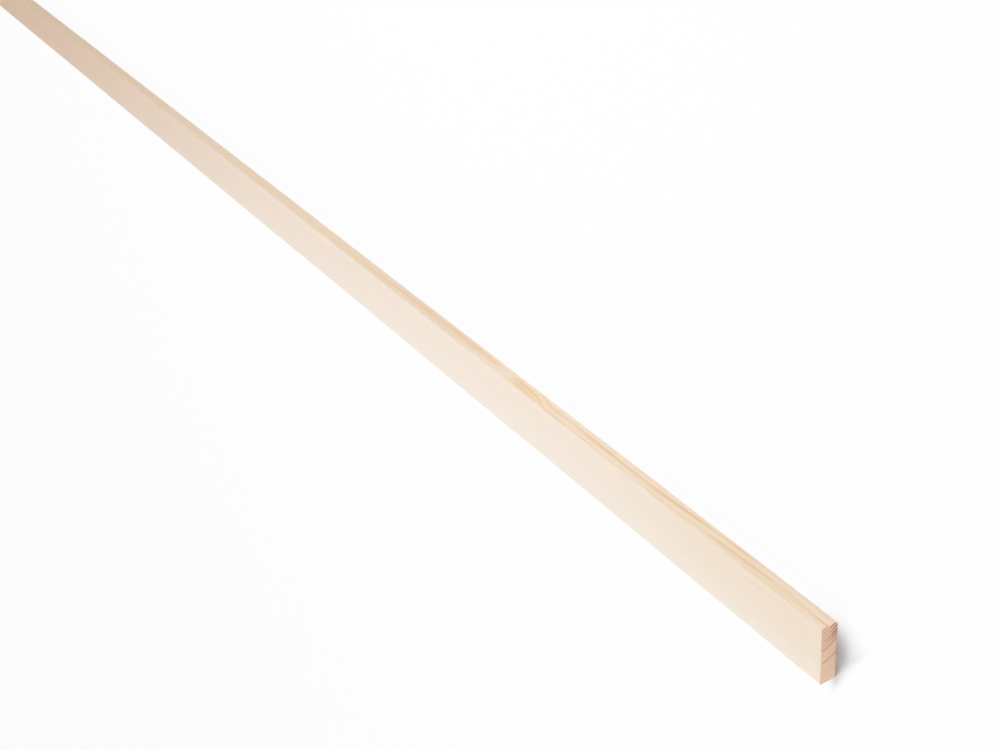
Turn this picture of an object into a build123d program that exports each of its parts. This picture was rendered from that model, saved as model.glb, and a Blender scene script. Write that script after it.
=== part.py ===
from build123d import *
import os

# Pine trim strip: one planed softwood lath of plain rectangular section, cross-cut square at both ends.
# It lies flat on its back face. X runs along the strip, Y across its width and Z through its thickness.
# The origin is the middle of the back face.

# Driving dimensions, in millimetres
strip_length = 2400.0
strip_width = 43.0
strip_thickness = 12.0
# Radius of the four long edges, eased at the planer so that they are not sharp to the hand
arris_radius = 0.8

# The strip: its section is drawn on the plane of the saw cut at one end and runs the whole length
end_cut = Plane.YZ.offset(-strip_length / 2)
with BuildPart() as trim_strip:
    with BuildSketch(end_cut) as section:
        Rectangle(strip_width, strip_thickness, align=(Align.CENTER, Align.MIN))
        fillet(section.vertices(), radius=arris_radius)
    extrude(amount=strip_length)
trim_strip.part.label = "trim_strip"

os.makedirs("parts", exist_ok=True)
export_step(trim_strip.part, "parts/trim_strip.step")
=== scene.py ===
import math

import bmesh
import bpy
import numpy as np
from mathutils import Matrix, Vector


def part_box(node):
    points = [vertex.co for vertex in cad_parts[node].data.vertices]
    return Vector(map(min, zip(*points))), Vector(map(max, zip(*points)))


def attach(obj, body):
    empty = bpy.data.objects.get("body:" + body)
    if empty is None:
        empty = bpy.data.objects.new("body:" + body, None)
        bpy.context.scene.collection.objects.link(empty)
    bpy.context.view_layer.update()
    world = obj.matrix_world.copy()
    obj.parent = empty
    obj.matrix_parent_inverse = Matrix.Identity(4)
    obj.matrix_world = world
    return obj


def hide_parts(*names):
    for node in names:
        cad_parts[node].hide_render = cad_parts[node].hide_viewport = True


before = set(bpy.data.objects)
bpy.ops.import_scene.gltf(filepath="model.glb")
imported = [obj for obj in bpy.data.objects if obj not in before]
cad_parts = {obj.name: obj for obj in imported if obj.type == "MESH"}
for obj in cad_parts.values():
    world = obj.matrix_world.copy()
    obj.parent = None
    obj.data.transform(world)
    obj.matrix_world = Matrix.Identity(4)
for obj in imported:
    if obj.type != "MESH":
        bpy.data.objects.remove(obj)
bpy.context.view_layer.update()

# Sizes of the strip, read from the frame and kept in millimetres
MM = 0.001
strip_low, strip_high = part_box("trim_strip")
strip_length, strip_width, strip_thickness = ((strip_high - strip_low) / MM)[:]
half_length = strip_length / 2
half_width = strip_width / 2
half_thickness = strip_thickness / 2

# Easing of the four long edges: its mean radius, how far it varies, and the length of that wave on each edge
ARRIS_RADIUS = 0.8
ARRIS_VARIATION = 0.12
ARRIS_WAVES = (310.0, 470.0, 380.0, 540.0)
# The saw leaves a slightly broken edge round each end
END_BREAK = 0.15
# Cells of the mesh: across the flats, along the strip and round each eased edge
FLAT_CELL = 0.5
LENGTH_CELL = 20.0
ARC_CELLS = 4
FLAT_CELLS = round((strip_width - 2 * ARRIS_RADIUS) / FLAT_CELL)
EDGE_CELLS = round((strip_thickness - 2 * ARRIS_RADIUS) / FLAT_CELL)
# Earlywood lies this far below the latewood, on the planed sides and on the sawn ends
PLANED_RELIEF = 0.02
SAWN_RELIEF = 0.08
# Edges turned by more than this are sharp, which only those round the saw cuts are
SHARP_ANGLE = math.radians(35)

# Growth rings on the section, in millimetres: across runs over the width and through over the thickness
PITH_ACROSS = 77.8
PITH_THROUGH = 38.2
# Each ring's outer radius from the pith, the depth of its dark latewood and how dark that is
RINGS = (
    (58.3, 1.4, 0.8),
    (60.4, 1.4, 0.75),
    (62.5, 1.7, 0.95),
    (64.6, 1.7, 0.9),
    (67.4, 1.6, 1.0),
    (70.0, 1.1, 1.0),
    (72.7, 1.6, 0.95),
    (74.4, 1.0, 0.9),
    (76.0, 0.9, 0.8),
    (79.2, 2.6, 0.8),
    (88.2, 1.2, 1.0),
    (95.6, 0.9, 0.15),
    (103.4, 1.0, 0.2),
    (111.0, 1.0, 0.2),
)
# The next spring's wood starts abruptly, over this depth
RING_EDGE = 0.5
# The rings lean in and out along the strip: distance from the near end, and shift outwards
DRIFT = (
    (0.0, 0.3),
    (45.0, -0.3),
    (195.0, 2.1),
    (260.0, 1.75),
    (300.0, 1.6),
    (323.0, -0.9),
    (345.0, -1.6),
    (378.0, 1.35),
    (460.0, 1.4),
    (525.0, 1.95),
    (575.0, 2.8),
    (650.0, 3.1),
    (1000.0, 2.6),
    (1400.0, 1.2),
    (1750.0, 2.8),
    (2050.0, 0.9),
    (2400.0, 2.0),
)
# The arch on one narrow edge: past its tip no ring further in than this one surfaces for a while
ARCH_RING = 65.2
ARCH_TIP = (344.0, 357.0)
ARCH_FADE = (560.0, 640.0)
ARCH_DEPTH = (14.0, 20.0)

# Image layout for baked colours: rows of the unrolled strip, and above them the two ends side by side
IMAGE_TEXELS = 1024
ISLAND_GAP = 6
LENGTH_ROWS = 3
END_TEXEL = 0.09
ENDS_BASE = IMAGE_TEXELS - ISLAND_GAP - strip_thickness / END_TEXEL

# The photograph's frame and camera, in pixels and metres, and the nearest that the camera sees
PHOTO_WIDTH = 1000
SENSOR_WIDTH = 36.0
FOCAL_PIXELS = 1540.0
CAMERA_PLACE = Vector((1.7155, 0.6218, 0.4909))
CAMERA_AIM = Vector((0.8391, 0.0226, 0.012))
CAMERA_ROLL = math.radians(-5.1)
CAMERA_NEAREST = 0.05

# Bare wood reflects less than a polished surface, which would be 0.5
WOOD_GLOSS = 0.2
# Patches of grain in the wood: their size along, across and through the strip, in millimetres
FIBRES = (45.0, 0.4, 0.4)
RESIN_CANALS = (7.0, 0.22, 0.22)
PATCHES = (38.0, 3.0, 3.0)
WANDER = (160.0, 14.0, 14.0)
CLOUDS = (260.0, 22.0, 30.0)
BLOTCHES = (6.0, 4.0, 4.0)
PORES = (0.3, 0.3, 0.3)
# Rays on the saw cuts: their length outwards from the pith, and how closely they stand round it
RAY_LENGTH = 7.0
RAY_COUNT = 150.0
# Steps of the planer's and the saw's marks, the slant of the saw's, and the depth of each fine relief
KNIFE_STEP = 1.7
SAW_STEP = 1.3
SAW_SLANT = (0.86, 0.5)
PLANED_BUMP = 0.012
SAWN_BUMP = 0.05

# Where tones and marks of the planed sides start or stop, in millimetres from the near end
FACE_TONE = (20.0, 300.0)
# From here the broad faces darken and brown: partly the wood's tone, partly painted shade for the light
# falling off along the strip
FACE_FAR_TONE_AND_SHADE = (420.0, 1900.0)
EDGE_TONE = (10.0, 70.0)
EDGE_PAST_ARCH_TONE = (320.0, 460.0)
EDGE_FAR_TONE = (900.0, 2100.0)
STREAKS_STOP = (349.0, 360.0)
FILL_START = (308.0, 328.0)
FILL_STOP = (349.0, 357.0)
BAND_START = (364.0, 386.0)
EVEN_START = (480.0, 700.0)
HAIRLINE_START = (46.0, 58.0)
HAIRLINE_STOP = (68.0, 76.0)
# The arch's filling stops earlier towards the front, by this much for each millimetre
FILL_SLANT = 0.8
# Where they start or stop through the thickness, from the back
STREAKS_OFF_BACK = (1.0, 3.5)
STREAKS_BY_FRONT = (7.5, 9.5)
# The eased edges' paleness, handling wear and painted highlight, grows over this span towards the front
EASED_WEAR_AND_HIGHLIGHT_RISE = (3.0, 9.0)
FRONT_SKIN = (11.0, 11.5)
# The paler side of the broad faces, which the camera sees below, from the middle of the width downwards
LOWER_SIDE = (-10.0, 30.0)
# The hairline's place, from the middle of the width upwards, and its half width with a soft rim
HAIRLINE_PLACE = 15.5
HAIRLINE_HALF = (0.1, 0.45)
# Parts of the saw cuts, through the thickness from the back and across the width from its middle
CUT_FRONT = (2.0, 7.0)
CUT_PINKER = (6.5, 10.0)
CUT_RIM = (10.3, 11.3)
CUT_UPPER = (3.0, 8.0)
CUT_LOWER = (-12.0, 2.0)
# The soft band past the arch and the wide rings of the saw cuts, by their distance from the pith
BAND_INNER = (65.0, 66.6)
BAND_OUTER = (67.2, 69.2)
WIDE_RINGS = (76.5, 78.0)

# The floor, in metres: the camera sees it white, but less so in the shadow that spreads from one corner,
# which fades with the distance from that corner and stops beside the window's rays and behind the corner
FLOOR_WIDTH = 60.0
FLOOR_COLOUR = (0.85, 0.885, 0.91, 1.0)
SHADOW_CORNER = Vector((half_length, -half_width, 0.0)) * MM
FLOOR_WHITE = 0.95
FLOOR_FADE = (0.020, 0.053)
BESIDE_FADE = (0.0, 0.007)
BEHIND_FADE = (-0.002, 0.016)

# Light: the room's own level, a low and slightly warm window light, and soft lamps in watts and metres
ROOM_LIGHT = 0.13
WINDOW_STRENGTH = 2.6
WINDOW_COLOUR = (1.08, 1.0, 0.92)
WINDOW_SPREAD = math.radians(20)
WINDOW_HEIGHT = math.radians(26)
WINDOW_TURN = math.radians(62)
WHITE = (1.0, 1.0, 1.0, 1.0)
COOL = (0.93, 1.0, 1.07)
PLAIN = (1.0, 1.0, 1.0)
# Each lamp's name, colour, power, size, place and the point that it faces
LAMPS = (
    ("key_lamp", COOL, 6.4, (0.9, 0.9), (0.75, 0.5, 1.0), (0.75, 0.0, 0.0)),
    ("side_window", PLAIN, 22.0, (2.4, 0.5), (0.2, 2.2, 0.30), (0.2, 0.0, 0.0)),
    ("end_fill", PLAIN, 6.5, (0.4, 0.4), (2.2, 0.1, 0.10), (1.2, 0.0, 0.006)),
)


def srgb(red, green, blue):
    """A colour as seen on a screen, 0 to 255, in the linear values that shaders use."""
    shares = [value / 255 for value in (red, green, blue)]
    linear = [v / 12.92 if v <= 0.04045 else ((v + 0.055) / 1.055) ** 2.4 for v in shares]
    return (*linear, 1.0)


# Tones of the broad faces, and the far end's tint on them, which is partly painted shade where the light
# falls off along the strip
FACE_NEAR = srgb(242, 226, 207)
FACE_FURTHER = srgb(245, 231, 218)
FACE_LOWER = srgb(246, 236, 224)
FAR_TINT_AND_SHADE = (1.02, 0.87, 0.76)
# Tones of the narrow edges, of the latewood streaks on them, and of the eased edges, paler from wear and
# from a painted highlight
EDGE_NEAR = srgb(251, 230, 205)
EDGE_STREAKED = srgb(249, 226, 201)
EDGE_PAST_ARCH = srgb(238, 216, 194)
EDGE_FAR = srgb(252, 226, 198)
LOWER_EDGE_PALE = srgb(228, 211, 190)
LOWER_EDGE_DEEP = srgb(222, 202, 176)
STREAK = srgb(238, 196, 143)
EASED_WEAR_AND_HIGHLIGHT_NEAR = srgb(254, 239, 217)
EASED_WEAR_AND_HIGHLIGHT_FAR = srgb(254, 224, 191)
# Tones of the saw cuts, and of the ring lines on them
SAWN_PINK = srgb(228, 190, 166)
SAWN_YELLOW = srgb(226, 202, 171)
SAWN_LOWER_FRONT = srgb(235, 191, 167)
SAWN_UPPER_FRONT = srgb(242, 196, 172)
SAWN_UPPER_BACK = srgb(240, 194, 156)
SAWN_RAY = srgb(241, 211, 188)
SAWN_RIM_LOWER = srgb(238, 208, 174)
SAWN_RIM_UPPER = srgb(222, 188, 146)
RING_BACK = srgb(112, 52, 30)
RING_FRONT = srgb(172, 94, 74)
RING_WIDE = srgb(178, 90, 38)


class Wire:
    """A value in a node tree: one node's output, with arithmetic that adds Math nodes."""

    def __init__(self, board, socket):
        self.board = board
        self.socket = socket

    def math(self, operation, first, second=0.0):
        """Adds a Math node and gives its output."""
        return self.board.node("ShaderNodeMath", {"operation": operation}, {0: first, 1: second})

    def __add__(self, other):
        return self.math("ADD", self, other)

    def __sub__(self, other):
        return self.math("SUBTRACT", self, other)

    def __mul__(self, other):
        return self.math("MULTIPLY", self, other)

    def __truediv__(self, other):
        return self.math("DIVIDE", self, other)

    def __pow__(self, other):
        return self.math("POWER", self, other)

    def __radd__(self, other):
        return self.math("ADD", other, self)

    def __rsub__(self, other):
        return self.math("SUBTRACT", other, self)

    def __rmul__(self, other):
        return self.math("MULTIPLY", other, self)

    def __abs__(self):
        return self.math("ABSOLUTE", self)

    def sine(self):
        return self.math("SINE", self)

    def larger(self, other):
        return self.math("MAXIMUM", self, other)


class Board:
    """A node tree on which a material or the world is wired up."""

    def __init__(self, tree):
        self.tree = tree
        self.tree.nodes.clear()

    def node(self, kind, settings=None, inputs=None, output=0):
        """Adds a node, sets it up, feeds its sockets and gives one of its outputs."""
        node = self.tree.nodes.new(kind)
        for name, value in (settings or {}).items():
            setattr(node, name, value)
        for key, value in (inputs or {}).items():
            if isinstance(value, Wire):
                self.tree.links.new(value.socket, node.inputs[key])
            else:
                node.inputs[key].default_value = value
        return Wire(self, node.outputs[output]) if node.outputs else None

    def mix(self, share, first, second):
        """A colour between two colours."""
        return self.node("ShaderNodeMix", {"data_type": "RGBA"}, {0: share, 6: first, 7: second}, 2)

    def scaled(self, vector, factor):
        """A colour or vector times a value."""
        return self.node("ShaderNodeVectorMath", {"operation": "SCALE"}, {0: vector, "Scale": factor})

    def times(self, vector, factors):
        """A colour or vector times another, part by part."""
        return self.node("ShaderNodeVectorMath", {"operation": "MULTIPLY"}, {0: vector, 1: factors})

    def grain(self, spot, run, detail=2.0):
        """Noise around a half, in patches as long as run says along each axis, in millimetres."""
        stretched = self.times(spot, tuple(1 / size for size in run))
        return self.node("ShaderNodeTexNoise", None, {"Vector": stretched, "Scale": 1.0, "Detail": detail})

    def parts(self, vector):
        """The three parts of a vector."""
        split = self.node("ShaderNodeSeparateXYZ", None, {0: vector}).socket.node
        return [Wire(self, socket) for socket in split.outputs]

    def seen_directly(self):
        """1 for what the camera sees, also in gloss or through glass, and 0 for light on other things."""
        path = self.node("ShaderNodeLightPath").socket.node
        kinds = ("Is Camera Ray", "Is Glossy Ray", "Is Transmission Ray")
        straight, in_gloss, through_glass = [Wire(self, path.outputs[kind]) for kind in kinds]
        return straight.larger(in_gloss).larger(through_glass)


def smooth(start, end, value):
    """An eased step from 0 at start to 1 at end, of a shader value or of plain numbers."""
    if isinstance(value, Wire):
        settings = {"interpolation_type": "SMOOTHSTEP"}
        return value.board.node("ShaderNodeMapRange", settings, {0: value, 1: start, 2: end})
    share = np.clip((value - start) / (end - start), 0, 1)
    return share * share * (3 - 2 * share)


def above_zero(value):
    """A shader value or plain numbers, with 0 for what is below it."""
    return value.larger(0.0) if isinstance(value, Wire) else np.maximum(value, 0)


def ring_place(along, across, through):
    """How far out from the pith a point of the wood lies, on rings that drift along the strip."""
    place = ((across - PITH_ACROSS) ** 2 + (through - PITH_THROUGH) ** 2) ** 0.5 + DRIFT[0][1]
    for (start, before), (end, after) in zip(DRIFT, DRIFT[1:]):
        place = place + (after - before) * smooth(start, end, along)
    arch = smooth(*ARCH_TIP, along) * (1 - smooth(*ARCH_FADE, along)) * smooth(*ARCH_DEPTH, across)
    return place + arch * above_zero(ARCH_RING - place)


def latewood(place):
    """Darkness of the latewood, from 0 to 1: it builds up through each ring and stops at its outer side."""
    dark = 0.0
    for radius, depth, strength in RINGS:
        rise = smooth(radius - depth, radius, place)
        dark = dark + strength * rise * (1 - smooth(radius, radius + RING_EDGE, place))
    return dark


def new_board(name):
    """A new material and its board."""
    material = bpy.data.materials.new(name)
    material.use_nodes = True
    return material, Board(material.node_tree)


def wood_place(board):
    """A point of the wood in millimetres, and its place from the near end, across and through the strip."""
    spot = board.scaled(board.node("ShaderNodeTexCoord", None, None, "Object"), 1 / MM)
    along, across, through = board.parts(spot)
    return spot, half_length - along, across, through


def finish_wood(board, colour, roughness, height, depth):
    """Ends a wood material in its relief, shader and output."""
    normal = board.node("ShaderNodeBump", None, {"Height": height, "Strength": 1.0, "Distance": depth * MM})
    inputs = {
        "Base Color": colour,
        "Roughness": roughness,
        "Specular IOR Level": WOOD_GLOSS,
        "Normal": normal,
    }
    shader = board.node("ShaderNodeBsdfPrincipled", None, inputs)
    board.node("ShaderNodeOutputMaterial", None, {"Surface": shader})


def broad_face(board, along, across, far):
    """The tone of the broad faces: paler away from the near end and on the lower side; browner and darker
    far off, partly as painted shade.
    """
    tone = board.mix(smooth(*FACE_TONE, along), FACE_NEAR, FACE_FURTHER)
    tone = board.mix(smooth(*LOWER_SIDE, 0 - across), tone, FACE_LOWER)
    return board.mix(far, tone, board.times(tone, FAR_TINT_AND_SHADE))


def narrow_edge(board, along, across, through, place, dark, patchy):
    """The tone of the narrow edges: streaks up to the filled arch, then one soft band, then an even tone."""
    off_back = smooth(*STREAKS_OFF_BACK, through)
    streaked = 1 - smooth(*STREAKS_STOP, along)
    filled = smooth(*FILL_START, along) * (1 - smooth(*FILL_STOP, along + FILL_SLANT * through)) * off_back
    even = smooth(*EVEN_START, along)
    banded = smooth(*BAND_START, along) * (1 - even)
    band = smooth(*BAND_INNER, place) * (1 - smooth(*BAND_OUTER, place)) * banded
    tone = board.mix(smooth(*EDGE_TONE, along), EDGE_NEAR, EDGE_STREAKED)
    tone = board.mix(smooth(*EDGE_PAST_ARCH_TONE, along), tone, EDGE_PAST_ARCH)
    tone = board.mix(smooth(*EDGE_FAR_TONE, along), tone, EDGE_FAR)
    lower_tone = board.mix(smooth(0.35, 0.65, patchy), LOWER_EDGE_PALE, LOWER_EDGE_DEEP)
    tone = board.mix(smooth(-1.0, 1.0, across), lower_tone, tone)
    tone = board.mix(0.3 * filled + 0.42 * band + 0.12 * even, tone, STREAK)
    strength = (0.64 * streaked + 0.25 * banded + 0.15 * even) * (0.35 + 0.65 * off_back)
    strength = strength * (1 - 0.4 * smooth(*STREAKS_BY_FRONT, through))
    return board.mix(dark * strength * (0.4 + 1.1 * smooth(0.3, 0.7, patchy)), tone, STREAK)


def planed_pine():
    """The four planed sides: quiet grain on the broad faces, orange streaks on the narrow edges."""
    material, board = new_board("planed_pine")
    spot, along, across, through = wood_place(board)
    _, face_across, face_through = board.parts(board.node("ShaderNodeTexCoord", None, None, "Normal"))
    on_edge = smooth(0.4, 0.9, abs(face_across))
    on_arris = smooth(0.01, 0.1, 1 - abs(face_across).larger(abs(face_through)))
    fibre = board.grain(spot, FIBRES)
    canals = smooth(0.62, 0.74, board.grain(spot, RESIN_CANALS, 1.0))
    wander = board.grain(spot, WANDER)
    cloud = board.grain(spot, CLOUDS)
    patchy = board.grain(spot, PATCHES)
    place = ring_place(along, across, through)
    place = place + (wander - 0.5) * 0.9 + (patchy - 0.5) * 1.1 + (fibre - 0.5) * 0.25
    dark = latewood(place)
    # Partly painted shade: the broad faces and eased edges darken towards the far end, where the light falls
    # off
    far = smooth(*FACE_FAR_TONE_AND_SHADE, along)
    broad = broad_face(board, along, across, far)
    colour = board.mix(on_edge, broad, narrow_edge(board, along, across, through, place, dark, patchy))
    colour = board.mix(0.08 * dark, colour, STREAK)
    colour = board.scaled(colour, 0.96 + 0.03 * cloud + 0.06 * fibre - 0.1 * canals)
    # One dark fibre shows as a hairline on the front face
    hairline = 1 - smooth(*HAIRLINE_HALF, abs(across - HAIRLINE_PLACE + (wander - 0.5) * 2))
    hairline = hairline * smooth(*HAIRLINE_START, along) * (1 - smooth(*HAIRLINE_STOP, along))
    hairline = hairline * smooth(*FRONT_SKIN, through) * smooth(0.3, 0.5, fibre)
    colour = board.scaled(colour, 1 - 0.22 * hairline)
    # The eased edges are paler than the faces, and most of all those of the front: partly handling wear,
    # partly a painted highlight that also fills the shade where the light turns away over the edge
    eased = board.mix(far, EASED_WEAR_AND_HIGHLIGHT_NEAR, EASED_WEAR_AND_HIGHLIGHT_FAR)
    colour = board.mix(on_arris * (0.3 + 0.7 * smooth(*EASED_WEAR_AND_HIGHLIGHT_RISE, through)), colour, eased)
    roughness = 0.64 + 0.12 * fibre - 0.06 * dark
    knife_marks = (along * (2 * math.pi / KNIFE_STEP)).sine()
    height = 0.6 * fibre + 0.5 * dark - 0.3 * canals + 0.06 * knife_marks
    finish_wood(board, colour, roughness, height, PLANED_BUMP)
    return material


def sawn_end_grain():
    """The two saw cuts: pinkish wood with brown ring lines, pale rays, open pores and faint saw marks."""
    material, board = new_board("sawn_end_grain")
    spot, along, across, through = wood_place(board)
    pores = board.grain(spot, PORES, 3.0)
    blotch = board.grain(spot, BLOTCHES)
    place = ring_place(along, across, through) + (blotch - 0.5) * 0.35
    dark = latewood(place)
    # Rays run outwards from the pith, across the rings
    round_pith = (through - PITH_THROUGH) / (across - PITH_ACROSS)
    ray_spot = board.node("ShaderNodeCombineXYZ", None, {0: place / RAY_LENGTH, 1: round_pith * RAY_COUNT})
    rays = board.node("ShaderNodeTexNoise", None, {"Vector": ray_spot, "Scale": 1.0, "Detail": 1.0})
    front = smooth(*CUT_FRONT, through)
    upper = smooth(*CUT_UPPER, across)
    lower_front = smooth(*CUT_PINKER, through) * (1 - smooth(*CUT_LOWER, across))
    colour = board.mix(blotch, SAWN_PINK, SAWN_YELLOW)
    colour = board.mix(0.7 * lower_front, colour, SAWN_LOWER_FRONT)
    colour = board.mix(0.3 * front * upper, colour, SAWN_UPPER_FRONT)
    colour = board.mix(0.6 * (1 - front) * upper, colour, SAWN_UPPER_BACK)
    colour = board.mix(0.9 * smooth(0.52, 0.7, rays), colour, SAWN_RAY)
    # Painted light: the cut is lighter towards the back, by the floor, to make up for the floor's shade
    # there
    colour = board.scaled(colour, 1.09 - 0.04 * front)
    # Dense brown lines towards the pith, wider orange ones further out, and none along the front rim
    rim = smooth(*CUT_RIM, through)
    wide = smooth(*WIDE_RINGS, place)
    brown = board.mix(front, RING_BACK, RING_FRONT)
    colour = board.mix(dark ** 1.25 * (1 - wide) * (1 - rim) * (1 - 0.45 * front), colour, brown)
    colour = board.mix(dark * wide * (1 - rim) * (0.3 + 0.6 * rays), colour, RING_WIDE)
    colour = board.mix(0.8 * rim, colour, board.mix(upper, SAWN_RIM_LOWER, SAWN_RIM_UPPER))
    over_marks = across * SAW_SLANT[0] + through * SAW_SLANT[1]
    saw_marks = (over_marks * (2 * math.pi / SAW_STEP)).sine()
    colour = board.scaled(colour, 0.93 + 0.12 * pores + 0.012 * saw_marks)
    roughness = 0.78 + 0.12 * pores
    height = 0.8 * pores + 0.5 * dark + 0.15 * saw_marks
    finish_wood(board, colour, roughness, height, SAWN_BUMP)
    return material


def sunk(depth, along, section_points):
    """How far below the latewood the points of a section lie."""
    return depth * (1 - latewood(ring_place(along, section_points[:, 0], section_points[:, 1])))


def section_outline(along, inset):
    """The section at one place, once round: along the back, up one edge, along the front, down the other."""
    swings = [math.sin(2 * math.pi * along / wave + wave) for wave in ARRIS_WAVES]
    radii = [ARRIS_RADIUS + ARRIS_VARIATION * swing for swing in swings]
    low_right, high_right, high_left, low_left = radii
    top = strip_thickness
    sides = (
        ((-half_width + low_left, 0.0), (half_width - low_right, 0.0), FLAT_CELLS),
        ((half_width, low_right), (half_width, top - high_right), EDGE_CELLS),
        ((half_width - high_right, top), (-half_width + high_left, top), FLAT_CELLS),
        ((-half_width, top - high_left), (-half_width, low_left), EDGE_CELLS),
    )
    corners = (
        ((half_width - low_right, low_right), low_right),
        ((half_width - high_right, top - high_right), high_right),
        ((-half_width + high_left, top - high_left), high_left),
        ((-half_width + low_left, low_left), low_left),
    )
    points = []
    for quarter, ((start, end, cells), (centre, radius)) in enumerate(zip(sides, corners)):
        heading = math.radians(90 * quarter - 90)
        outwards = np.array((math.cos(heading), math.sin(heading)))
        flat = np.linspace(start, end, cells + 1)
        inner = flat[1:-1]
        inner -= outwards * sunk(PLANED_RELIEF, along, inner)[:, None]
        turns = heading + math.pi / 2 * np.arange(1, ARC_CELLS) / ARC_CELLS
        arc = np.array(centre) + radius * np.column_stack([np.cos(turns), np.sin(turns)])
        points.extend((flat, arc))
    middle = np.array((0.0, half_thickness))
    shrink = 1 - inset / np.array((half_width, half_thickness))
    return middle + (np.vstack(points) - middle) * shrink


def end_cap(outline, first_outline, first_grid):
    """A saw cut: the points of the grid inside its outline, and its faces as numbers of points."""
    back = np.arange(FLAT_CELLS + 1)
    right = back[-1] + ARC_CELLS + np.arange(EDGE_CELLS + 1)
    front = right[-1] + ARC_CELLS + np.arange(FLAT_CELLS + 1)[::-1]
    left = front[0] + ARC_CELLS + np.arange(EDGE_CELLS + 1)[::-1]
    up = np.linspace(0, 1, EDGE_CELLS + 1)[:, None]
    over = np.linspace(0, 1, FLAT_CELLS + 1)[None, :]
    across = outline[back, 0] * (1 - up) + outline[front, 0] * up
    through = outline[left, 1][:, None] * (1 - over) + outline[right, 1][:, None] * over
    grid = first_grid + np.arange(across.size).reshape(across.shape)
    sheets = (
        np.vstack([first_outline + back, grid, first_outline + front]),
        np.vstack([first_outline + left, grid[:, 0]]),
        np.vstack([grid[:, -1], first_outline + right]),
    )
    faces = []
    for sheet in sheets:
        for below, above in zip(sheet, sheet[1:]):
            faces.extend(zip(below, below[1:], above[1:], above))
    fans = (
        (grid[0, -1], back[-1]),
        (grid[-1, -1], right[-1]),
        (grid[-1, 0], front[0]),
        (grid[0, 0], left[0]),
    )
    for centre, start in fans:
        arc = first_outline + (start + np.arange(ARC_CELLS + 1)) % len(outline)
        faces.extend((centre, one, two) for one, two in zip(arc, arc[1:]))
    return np.column_stack([across.ravel(), through.ravel()]), faces


def end_layout(number, section_points):
    """Where points of a saw cut lie in the image layout, in texels."""
    end_width = strip_width / END_TEXEL + ISLAND_GAP
    u = ISLAND_GAP + number * end_width + (section_points[:, 0] + half_width) / END_TEXEL
    return np.column_stack([u, ENDS_BASE + section_points[:, 1] / END_TEXEL])


def side_layout(stations, outline):
    """Where the cells of the long sides lie in the image layout, in texels: four corners for each cell."""
    row_length = strip_length / LENGTH_ROWS
    row_width = IMAGE_TEXELS - 2 * ISLAND_GAP
    row_height = (ENDS_BASE - ISLAND_GAP) / LENGTH_ROWS - ISLAND_GAP
    steps = np.diff(outline, axis=0, prepend=outline[-1:], append=outline[:1])
    girth = np.cumsum(np.linalg.norm(steps, axis=1))
    girth = (girth - girth[0]) / (girth[-1] - girth[0]) * row_height
    places = []
    for start, end in zip(stations, stations[1:]):
        row = int((start + end + strip_length) / 2 // row_length)
        row_start = row * row_length - half_length
        u0, u1 = [ISLAND_GAP + (x - row_start) / row_length * row_width for x in (start, end)]
        v = ISLAND_GAP + row * (row_height + ISLAND_GAP) + girth
        corners = [(u0, v[:-1]), (u0, v[1:]), (u1, v[1:]), (u1, v[:-1])]
        places.append(np.stack([np.column_stack([np.full(len(w), u), w]) for u, w in corners], 1))
    return np.concatenate(places).reshape(-1, 2)


def turn_faces_out(mesh):
    """Turns every face of a closed mesh outwards."""
    shell = bmesh.new()
    shell.from_mesh(mesh)
    bmesh.ops.recalc_face_normals(shell, faces=shell.faces)
    shell.to_mesh(mesh)
    shell.free()


def planed_lath(materials):
    """The strip as one closed mesh, with the image layout for its baked colours."""
    steps = np.linspace(-half_length, half_length, round(strip_length / LENGTH_CELL) + 1)
    stations = [steps[0], steps[0] + END_BREAK, *steps[1:-1], steps[-1] - END_BREAK, steps[-1]]
    last = len(stations) - 1
    insets = [END_BREAK] + [0.0] * (last - 1) + [END_BREAK]
    outlines = [section_outline(half_length - x, inset) for x, inset in zip(stations, insets)]
    points = [np.column_stack([np.full(len(outline), x), outline]) for x, outline in zip(stations, outlines)]
    count = len(outlines[0])
    turn = np.arange(count)
    after = (turn + 1) % count
    bands = []
    for low in range(0, last * count, count):
        bands.append(list(zip(low + turn, low + after, low + count + after, low + count + turn)))
    faces = [cell for band in bands[1:-1] for cell in band]
    layout = [side_layout(stations[1:-1], outlines[1])]
    sides = len(faces)
    for number, (end, band, inwards) in enumerate(((0, bands[0], 1), (last, bands[-1], -1))):
        along = half_length - stations[end]
        grid, cap = end_cap(outlines[end], end * count, sum(len(part) for part in points))
        points[end][:, 0] += inwards * sunk(SAWN_RELIEF, along, outlines[end])
        depth = stations[end] + inwards * sunk(SAWN_RELIEF, along, grid)
        points.append(np.column_stack([depth, grid]))
        corners = np.array([corner for face in band + cap for corner in face])
        layout.append(end_layout(number, np.vstack(points)[corners, 1:]))
        faces.extend(band + cap)
    mesh = bpy.data.meshes.new("planed_lath")
    cells = [[int(corner) for corner in face] for face in faces]
    mesh.from_pydata((np.vstack(points) * MM).tolist(), [], cells)
    mesh.uv_layers.new(name="OFBake").data.foreach_set("uv", np.vstack(layout).ravel() / IMAGE_TEXELS)
    for material in materials:
        mesh.materials.append(material)
    mesh.polygons.foreach_set("material_index", [0] * sides + [1] * (len(faces) - sides))
    turn_faces_out(mesh)
    mesh.shade_smooth()
    mesh.set_sharp_from_angle(angle=SHARP_ANGLE)
    return placed("planed_lath", mesh)


def placed(name, data, place=Matrix()):
    """A new object in the scene."""
    thing = bpy.data.objects.new(name, data)
    thing.matrix_world = place
    bpy.context.scene.collection.objects.link(thing)
    return thing


def facing(place, target):
    """A place whose -Z side looks at a target."""
    return Matrix.Translation(place) @ (target - place).to_track_quat("-Z", "Y").to_matrix().to_4x4()


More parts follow.
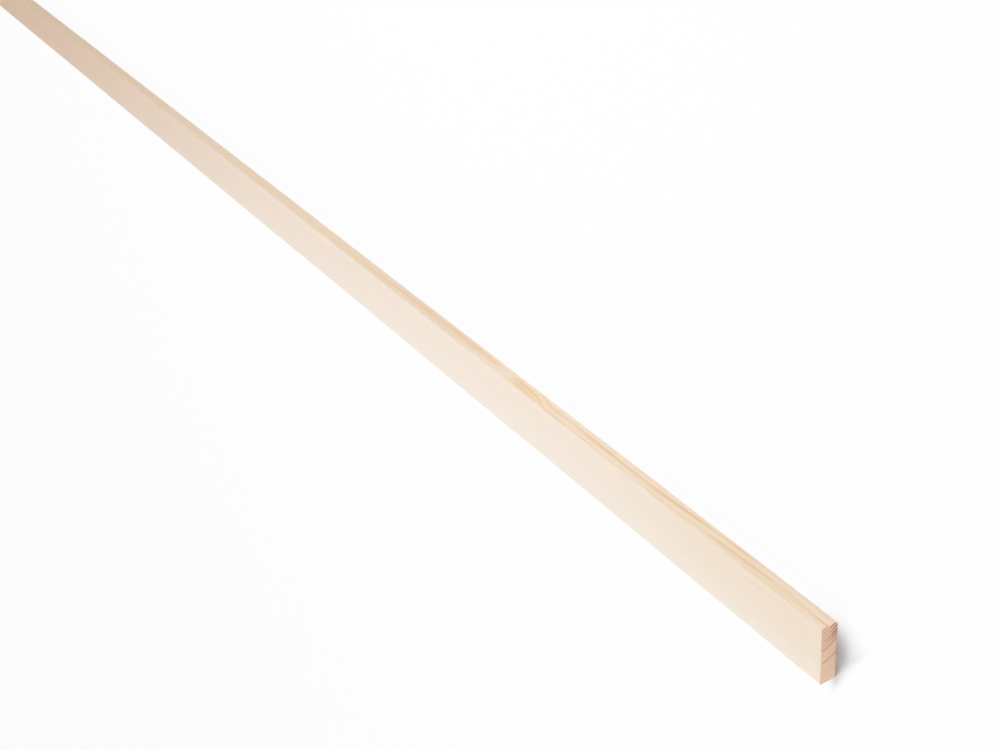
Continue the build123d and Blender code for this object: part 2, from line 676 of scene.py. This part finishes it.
def studio_floor():
    """A pale floor: near the sawn end it shows its shadow, and further off the camera sees it white."""
    material, board = new_board("pale_floor")
    white = board.node("ShaderNodeEmission", None, {"Color": WHITE, "Strength": 1.0})
    paper = board.node("ShaderNodeBsdfDiffuse", None, {"Color": FLOOR_COLOUR})
    spot = board.node("ShaderNodeNewGeometry", None, None, "Position")
    from_corner = board.node("ShaderNodeVectorMath", {"operation": "SUBTRACT"}, {0: spot, 1: SHADOW_CORNER})
    distance = board.node("ShaderNodeVectorMath", {"operation": "LENGTH"}, {0: from_corner}, "Value")
    white_share = smooth(*FLOOR_FADE, distance)
    beside = (math.sin(WINDOW_TURN), -math.cos(WINDOW_TURN), 0.0)
    behind = (-math.cos(WINDOW_TURN), -math.sin(WINDOW_TURN), 0.0)
    for direction, fade in ((beside, BESIDE_FADE), (behind, BEHIND_FADE)):
        inputs = {0: from_corner, 1: direction}
        reach = board.node("ShaderNodeVectorMath", {"operation": "DOT_PRODUCT"}, inputs, "Value")
        white_share = white_share.larger(smooth(*fade, reach))
    share = FLOOR_WHITE * white_share
    shader = board.node("ShaderNodeMixShader", None, {0: board.seen_directly() * share, 1: paper, 2: white})
    board.node("ShaderNodeOutputMaterial", None, {"Surface": shader})
    mesh = bpy.data.meshes.new("studio_floor")
    half = FLOOR_WIDTH / 2
    corners = [(-half, -half, 0), (half, -half, 0), (half, half, 0), (-half, half, 0)]
    mesh.from_pydata(corners, [], [(0, 1, 2, 3)])
    mesh.materials.append(material)
    return placed("studio_floor", mesh)


def studio_light():
    """A pale room, a low window light, and soft lamps over the strip's near half, at its side and end."""
    world = bpy.data.worlds.new("pale_room")
    world.use_nodes = True
    bpy.context.scene.world = world
    board = Board(world.node_tree)
    strength = ROOM_LIGHT + (1 - ROOM_LIGHT) * board.seen_directly()
    room = board.node("ShaderNodeBackground", None, {"Color": WHITE, "Strength": strength})
    board.node("ShaderNodeOutputWorld", None, {"Surface": room})
    window = bpy.data.lights.new("window", "SUN")
    window.energy = WINDOW_STRENGTH
    window.color = WINDOW_COLOUR
    window.angle = WINDOW_SPREAD
    level = Vector((math.cos(WINDOW_TURN), math.sin(WINDOW_TURN), 0)) * math.cos(WINDOW_HEIGHT)
    placed("window", window, facing(Vector(), level - Vector((0, 0, math.sin(WINDOW_HEIGHT)))))
    for name, colour, power, size, place, target in LAMPS:
        lamp = bpy.data.lights.new(name, "AREA")
        lamp.shape = "RECTANGLE"
        lamp.color = colour
        lamp.energy = power
        lamp.size, lamp.size_y = size
        placed(name, lamp, facing(Vector(place), Vector(target)))


def photo_camera():
    """The photograph's camera: rolled a little, with the strip's upper narrow edge towards the top."""
    forward = (CAMERA_AIM - CAMERA_PLACE).normalized()
    level_right = forward.cross(Vector((0, 1, 0))).normalized()
    level_up = level_right.cross(forward)
    right = math.cos(CAMERA_ROLL) * level_right + math.sin(CAMERA_ROLL) * level_up
    turn = Matrix((right, right.cross(forward), -forward)).transposed().to_4x4()
    camera = bpy.data.cameras.new("photo_camera")
    camera.sensor_width = SENSOR_WIDTH
    camera.lens = FOCAL_PIXELS / PHOTO_WIDTH * SENSOR_WIDTH
    camera.clip_start = CAMERA_NEAREST
    camera.clip_end = 2 * FLOOR_WIDTH
    bpy.context.scene.camera = placed("photo_camera", camera, Matrix.Translation(CAMERA_PLACE) @ turn)


lath = planed_lath([planed_pine(), sawn_end_grain()])
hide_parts("trim_strip")
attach(lath, "root")
studio_floor()
studio_light()
photo_camera()
bpy.context.scene.view_settings.view_transform = "Standard"
